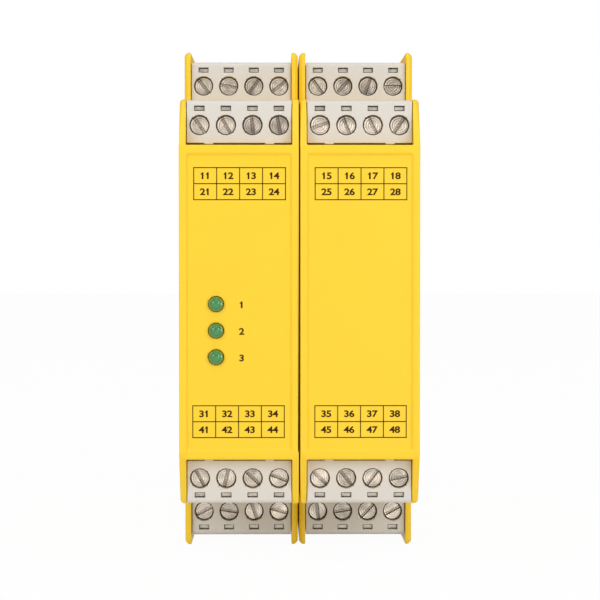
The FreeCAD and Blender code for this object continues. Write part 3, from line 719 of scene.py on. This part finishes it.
# The stroke on a 1, in shares of the digit's height, with its lean in degrees
flag = {"long": 0.36, "half": 0.08, "lean": -28, "left": 0.12, "up": 0.34}


def panelPlane(side):  # the depth of the shallow panel field
    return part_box("front_housing_" + side)[0].y + housing["fieldDepth"]


def bar(low, high, depth):
    return block((low[0], depth - legend["ink"], low[1]), (high[0], depth + legend["ink"], high[1]))


def digit(sign, x, z, depth):
    size = legend["digitHeight"]
    bpy.ops.object.text_add(location=(0, 0, 0))
    obj = bpy.context.object
    obj.data.body = sign
    obj.data.size = size * legend["fontShare"]
    obj.data.align_x = "CENTER"
    obj.data.align_y = "CENTER"
    obj.data.offset = legend["bolder"]
    obj.data.extrude = legend["ink"]
    obj.data.resolution_u = 4
    only(obj)
    bpy.ops.object.convert(target="MESH")
    obj = bpy.context.object
    width = Matrix.Scale(legend["wider"], 4, (1, 0, 0))
    obj.data.transform(Matrix.Translation((x, depth, z)) @ Matrix.Rotation(math.pi / 2, 4, "X") @ width)
    if sign == "1":  # the slanted stroke at its top
        half = flag["half"] * size
        stroke = block((-flag["long"] * size, -legend["ink"], -half), (0, legend["ink"], half))
        stroke.rotation_euler = (0, math.radians(flag["lean"]), 0)
        stroke.location = (x - flag["left"] * size, depth, z + flag["up"] * size)
        only(stroke)
        bpy.ops.object.transform_apply(location=True, rotation=True, scale=True)
        obj = joined([obj, stroke])
    return obj


def words(text, x, z, depth):
    first = x - (len(text) - 1) / 2 * legend["advance"]
    low = z - legend["drop"]
    return [digit(sign, first + k * legend["advance"], low, depth) for k, sign in enumerate(text)]


def grid(side, middle, top, first):
    depth = panelPlane(side)
    half = legend["line"] / 2
    columns, rows = legend["columns"], legend["rows"]
    left = middle - legend["gridWidth"] / 2
    width = legend["gridWidth"] / columns
    height = legend["cellHeight"]
    pieces = []
    for k in range(columns + 1):
        x = left + k * width
        pieces.append(bar((x - half, top - rows * height), (x + half, top), depth))
    for k in range(rows + 1):
        z = top - k * height
        pieces.append(bar((left - half, z - half), (left + columns * width + half, z + half), depth))
    for row in range(rows):
        for column in range(columns):
            number = first + 10 * row + column
            x = left + (column + 0.5) * width
            z = top - (row + 0.5) * height
            pieces += words(str(number), x, z, depth)
    return pieces


gridTop = {"top": 25.3 * mm, "bottom": -19.4 * mm}
gridShift = {  # the print doesn't sit quite in the middle
    "left": {"top": 0.14 * mm, "bottom": -0.1 * mm},
    "right": {"top": 0.15 * mm, "bottom": 0.1 * mm},
}
for sideNumber, side in enumerate(sides):
    low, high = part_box("rear_base_" + side)
    middle = (low.x + high.x) / 2
    pieces = []
    for endNumber, end in enumerate(ends):
        firstNumber = 11 + 4 * sideNumber + 20 * endNumber
        pieces += grid(side, middle + gridShift[side][end], gridTop[end], firstNumber)
    if side == "left":
        for number, centre in enumerate(centres, 1):
            pieces += words(str(number), centre.x + legend["beside"], centre.z, panelPlane(side))
    settle(joined(pieces), "panelPrint_" + side, "housing", finishes["printInk"])
print("print done")


# What stays hidden inside keeps its CAD mesh and gets its finish

inside = {"header_strips": "blackHeader", "circuit_boards": "boardLacquer", "relays": "relayCase"}
inside.update({"latch_spring_" + side: "springSteel" for side in sides})
inside.update({"clamps_" + name: "tinnedContact" for name in plugNames})
for node, finish in inside.items():
    mesh = nodes[node].data
    mesh.materials.clear()
    mesh.materials.append(finishes[finish])
print("inner parts done")


# Floor, background, lamps and camera

stage = {"floor": (0.93, 0.93, 0.93), "world": 0.46, "floorGlow": 0.97}


def whiteFloor():
    finish = Finish("whiteFloor")
    seen = finish.node("LightPath", output="Is Camera Ray")
    mirrored = finish.node("LightPath", output="Is Glossy Ray")
    lit = finish.node("BsdfDiffuse", {}, {"Color": (*stage["floor"], 1)})
    glow = finish.node("Emission", {}, {"Color": (1, 1, 1, 1), "Strength": 1.0})
    amount = (seen + mirrored) * stage["floorGlow"]
    both = finish.node("MixShader", {}, {0: amount, 1: lit, 2: glow})
    finish.node("OutputMaterial", {}, {"Surface": both})
    return finish.material


bottom = cadBox[0].z
bpy.ops.mesh.primitive_plane_add(size=4, location=(0, 0, bottom))
floor = bpy.context.object
floor.name = "floor"
floor.data.materials.append(whiteFloor())

world = bpy.data.worlds.new("studio")
bpy.context.scene.world = world
world.use_nodes = True
tree = world.node_tree
tree.nodes.clear()
path = tree.nodes.new("ShaderNodeLightPath")
dim = tree.nodes.new("ShaderNodeBackground")
dim.inputs["Color"].default_value = (1, 1, 1, 1)
dim.inputs["Strength"].default_value = stage["world"]
white = tree.nodes.new("ShaderNodeBackground")
white.inputs["Color"].default_value = (1, 1, 1, 1)
white.inputs["Strength"].default_value = 1.0
mix = tree.nodes.new("ShaderNodeMixShader")
out = tree.nodes.new("ShaderNodeOutputWorld")
tree.links.new(path.outputs["Is Camera Ray"], mix.inputs[0])
tree.links.new(dim.outputs[0], mix.inputs[1])
tree.links.new(white.outputs[0], mix.inputs[2])
tree.links.new(mix.outputs[0], out.inputs["Surface"])

lamps = {
    "left": {"at": (-0.6, -0.75, 0.35), "size": 0.45, "watts": 2.3},
    "right": {"at": (0.6, -0.75, 0.35), "size": 0.45, "watts": 2.3},
    "top": {"at": (0.0, -0.35, 0.9), "size": 0.6, "watts": 1.6},
    "low": {"at": (0.3, -1.0, 0.0), "size": 0.09, "watts": 0.6},
}
aim = (cadBox[0] + cadBox[1]) / 2
for name, lamp in lamps.items():
    bpy.ops.object.light_add(type="AREA", location=lamp["at"])
    made = bpy.context.object
    made.name = name
    made.data.energy = lamp["watts"]
    made.data.size = lamp["size"]
    made.rotation_euler = (aim - Vector(lamp["at"])).to_track_quat("-Z", "Y").to_euler()

view = {"place": (-3.82 * mm, -465.07 * mm, 10.26 * mm), "down": 1.577, "right": 0.629, "lens": 113.5}
bpy.ops.object.camera_add(
    location=view["place"], rotation=(math.radians(90 - view["down"]), 0, math.radians(-view["right"]))
)
camera = bpy.context.object
camera.data.lens = view["lens"]
camera.data.sensor_width = 36
camera.data.clip_start = 0.01
camera.data.clip_end = 20
bpy.context.scene.camera = camera
bpy.context.scene.view_settings.view_transform = "Standard"
print("stage done")
